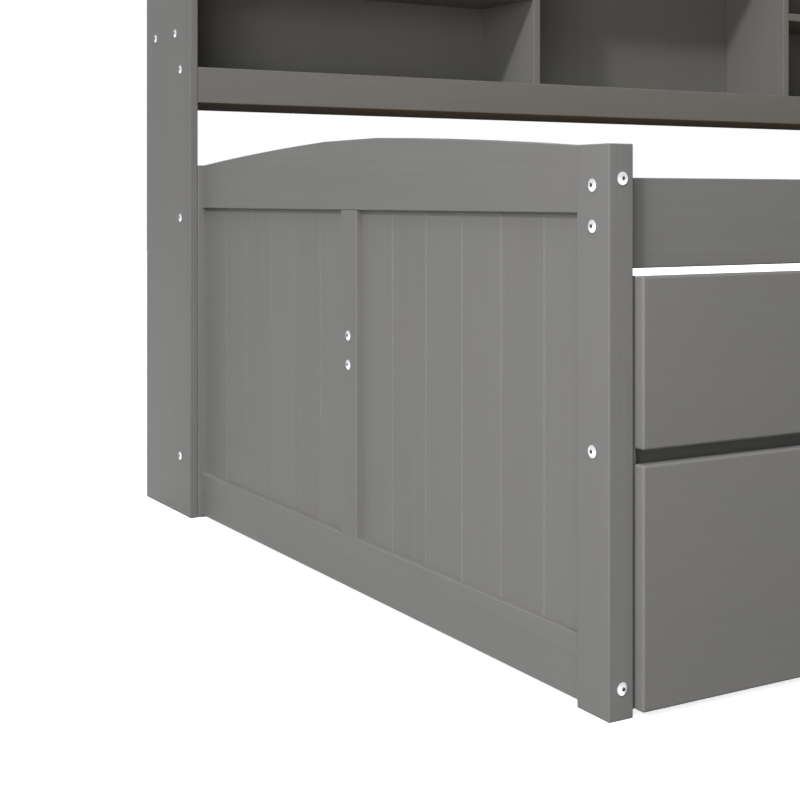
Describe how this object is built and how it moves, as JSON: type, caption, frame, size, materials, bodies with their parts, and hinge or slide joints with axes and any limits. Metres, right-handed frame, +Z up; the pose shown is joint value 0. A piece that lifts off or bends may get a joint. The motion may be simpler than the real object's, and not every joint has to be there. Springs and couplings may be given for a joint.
{
  "type": "captains bed",
  "caption": "Painted captain's bed with arched panelled ends, a slatted base, drawers over a rolling trundle bed, and a bookcase bridge along the back.",
  "frame": {"origin": "on the floor, under the middle of the bed's whole length and whole depth, knobs included", "axes": "+X along the bed towards its right end, seen from the drawers; +Y towards the bookcase; +Z up"},
  "size_m": [2.0106, 1.288, 1.1],
  "materials": {
    "painted_pine": "solid pine under satin grey paint",
    "painted_panel": "panel board under satin grey paint",
    "raw_pine": "planed pine, unpainted",
    "plywood": "thin plywood, unpainted",
    "zinc_steel": "bright zinc plate",
    "pressed_steel": "pressed steel, zinc plated",
    "caster_nylon": "moulded nylon"
  },
  "bodies": {
    "frame": {"barrel_nuts": "zinc_steel", "bed_slats": "raw_pine", "bookcase_back_panel": "painted_panel", "bookcase_bottom": "painted_panel", "bookcase_dividers": "painted_panel", "bookcase_front_lip": "painted_panel", "bookcase_mid_shelves": "painted_panel", "bookcase_screws": "zinc_steel", "bookcase_top": "painted_panel", "center_beam": "painted_pine", "drawer_runners": "raw_pine", "front_mid_rail": "painted_pine", "front_side_rail": "painted_pine", "front_stops": "painted_pine", "left_bookcase_side": "painted_panel", "left_end_beadboards": "painted_panel", "left_end_bottom_rail": "painted_pine", "left_end_center_stile": "painted_pine", "left_end_top_rail": "painted_pine", "left_front_post": "painted_pine", "left_rear_post": "painted_pine", "left_tower_panel": "painted_panel", "long_bolts": "zinc_steel", "rear_lower_rail": "painted_pine", "rear_side_rail": "painted_pine", "right_bookcase_side": "painted_panel", "right_end_beadboards": "painted_panel", "right_end_bottom_rail": "painted_pine", "right_end_center_stile": "painted_pine", "right_end_top_rail": "painted_pine", "right_front_post": "painted_pine", "right_rear_post": "painted_pine", "right_tower_panel": "painted_panel", "slat_ledgers": "raw_pine", "stile_bolts": "zinc_steel", "wood_screws": "zinc_steel"},
    "left_drawer": {"left_drawer_bottom": "plywood", "left_drawer_front": "painted_panel", "left_drawer_knob": "painted_pine", "left_drawer_walls": "raw_pine"},
    "middle_drawer": {"middle_drawer_bottom": "plywood", "middle_drawer_front": "painted_panel", "middle_drawer_knob": "painted_pine", "middle_drawer_walls": "raw_pine"},
    "right_drawer": {"right_drawer_bottom": "plywood", "right_drawer_front": "painted_panel", "right_drawer_knob": "painted_pine", "right_drawer_walls": "raw_pine"},
    "trundle": {"caster_axles": "pressed_steel", "caster_brackets": "pressed_steel", "trundle_back_rail": "painted_panel", "trundle_bearers": "raw_pine", "trundle_end_rails": "painted_panel", "trundle_front": "painted_panel", "trundle_knobs": "painted_pine", "trundle_screws": "zinc_steel", "trundle_slats": "raw_pine"},
    "front_left_caster": {"front_left_wheel": "caster_nylon"},
    "front_right_caster": {"front_right_wheel": "caster_nylon"},
    "rear_left_caster": {"rear_left_wheel": "caster_nylon"},
    "rear_right_caster": {"rear_right_wheel": "caster_nylon"}
  },
  "joints": [
    {"name": "left_drawer_slide", "type": "slide", "parent": "frame", "child": "left_drawer", "axis": [0, -1, 0], "range_m": [0, 0.38]},
    {"name": "middle_drawer_slide", "type": "slide", "parent": "frame", "child": "middle_drawer", "axis": [0, -1, 0], "range_m": [0, 0.38]},
    {"name": "right_drawer_slide", "type": "slide", "parent": "frame", "child": "right_drawer", "axis": [0, -1, 0], "range_m": [0, 0.38]},
    {"name": "trundle_slide", "type": "slide", "parent": "frame", "child": "trundle", "axis": [0, -1, 0], "range_m": [0, 1.05]},
    {"name": "front_left_caster_roll", "type": "hinge", "parent": "trundle", "child": "front_left_caster", "pos_m": [-0.85, -0.584, 0.019], "axis": [1, 0, 0], "continuous": true},
    {"name": "front_right_caster_roll", "type": "hinge", "parent": "trundle", "child": "front_right_caster", "pos_m": [0.85, -0.584, 0.019], "axis": [1, 0, 0], "continuous": true},
    {"name": "rear_left_caster_roll", "type": "hinge", "parent": "trundle", "child": "rear_left_caster", "pos_m": [-0.85, 0.424, 0.019], "axis": [1, 0, 0], "continuous": true},
    {"name": "rear_right_caster_roll", "type": "hinge", "parent": "trundle", "child": "rear_right_caster", "pos_m": [0.85, 0.424, 0.019], "axis": [1, 0, 0], "continuous": true}
  ],
  "couplings": [
    {"joint": "front_left_caster_roll", "follows": "trundle_slide", "rad_per_m": 52.632},
    {"joint": "front_right_caster_roll", "follows": "trundle_slide", "rad_per_m": 52.632},
    {"joint": "rear_left_caster_roll", "follows": "trundle_slide", "rad_per_m": 52.632},
    {"joint": "rear_right_caster_roll", "follows": "trundle_slide", "rad_per_m": 52.632}
  ]
}
